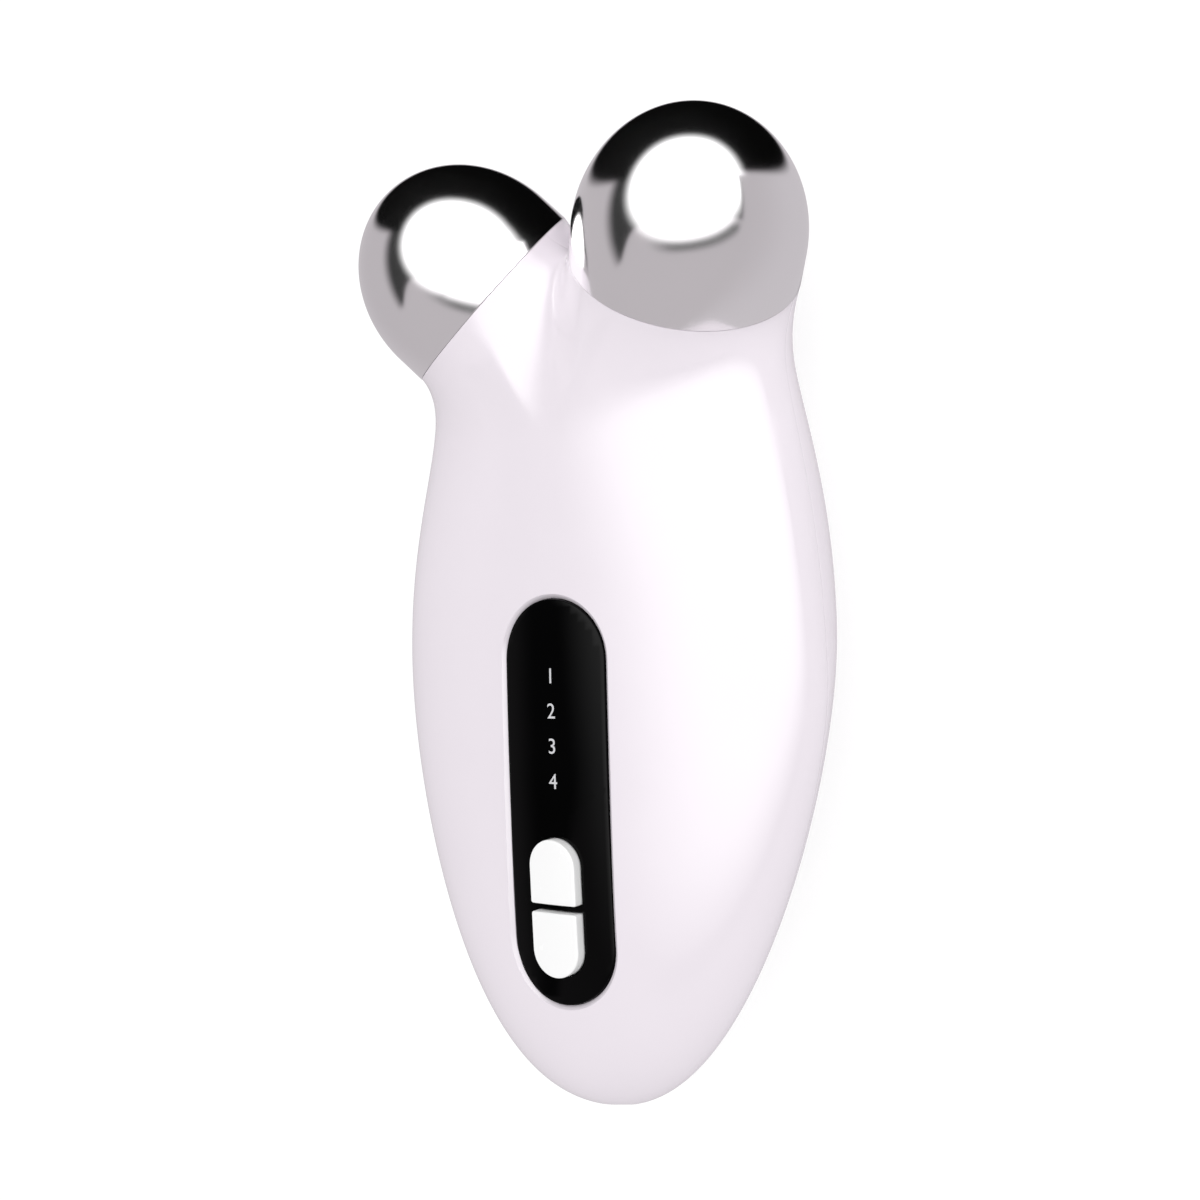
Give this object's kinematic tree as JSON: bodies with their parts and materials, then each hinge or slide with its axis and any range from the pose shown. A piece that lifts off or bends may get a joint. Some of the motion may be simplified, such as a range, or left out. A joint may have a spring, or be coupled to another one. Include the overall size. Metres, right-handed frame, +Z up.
{
  "type": "facial toning device",
  "caption": "Hand-held facial toning device: pebble-shaped white body, two polished dome electrodes on short splayed necks, dark front window with a split pill of press buttons.",
  "frame": {"origin": "bottom centre of the bounding box: the point of the table under the middle of the device as it lies on its back", "axes": "+X to the device's side, +Y toward the domes along its length, +Z up out of the front face with the window"},
  "size_m": [0.062, 0.1198, 0.0376],
  "materials": {
    "body_white": "glossy",
    "window_black": "glossy",
    "tape": "matte",
    "button_white": "satin",
    "black_plastic": "matte",
    "switch_steel": "satin",
    "chrome": "mirror polish",
    "inner_plastic": "matte",
    "seal_rubber": "matte",
    "screw_steel": "satin",
    "heater_ceramic": "matte",
    "wire_red": "satin",
    "board_green": "satin",
    "led_white": "satin",
    "chip_black": "matte",
    "ferrite": "matte",
    "battery_foil": "satin",
    "connector_white": "matte",
    "socket_steel": "satin"
  },
  "bodies": {
    "casing": {"front_shell": "body_white", "rear_shell": "body_white", "display_window": "window_black", "window_tape": "tape", "upper_switch": "switch_steel", "lower_switch": "switch_steel", "left_dome": "chrome", "right_dome": "chrome", "left_dome_carrier": "inner_plastic", "right_dome_carrier": "inner_plastic", "left_dome_seal": "seal_rubber", "right_dome_seal": "seal_rubber", "left_dome_screw": "screw_steel", "right_dome_screw": "screw_steel", "left_heater": "heater_ceramic", "right_heater": "heater_ceramic", "left_lead": "wire_red", "right_lead": "wire_red", "main_board": "board_green", "light_frame": "black_plastic", "mode_leds": "led_white", "control_chips": "chip_black", "boost_transformer": "ferrite", "buzzer": "black_plastic", "board_screws": "screw_steel", "case_screw": "screw_steel", "battery": "battery_foil", "battery_cradle": "black_plastic", "battery_lead": "wire_red", "battery_connector": "connector_white", "charge_socket": "socket_steel", "charge_tongue": "black_plastic"},
    "upper_key": {"upper_button": "button_white", "upper_switch_plunger": "black_plastic"},
    "lower_key": {"lower_button": "button_white", "lower_switch_plunger": "black_plastic"}
  },
  "joints": [
    {"name": "upper_button_press", "type": "slide", "parent": "casing", "child": "upper_key", "axis": [0, 0, -1], "range_m": [0, 0.0004], "stiffness_N_per_m": 1500, "springref_m": -0.0004},
    {"name": "lower_button_press", "type": "slide", "parent": "casing", "child": "lower_key", "axis": [0, 0, -1], "range_m": [0, 0.0004], "stiffness_N_per_m": 1500, "springref_m": -0.0004}
  ]
}
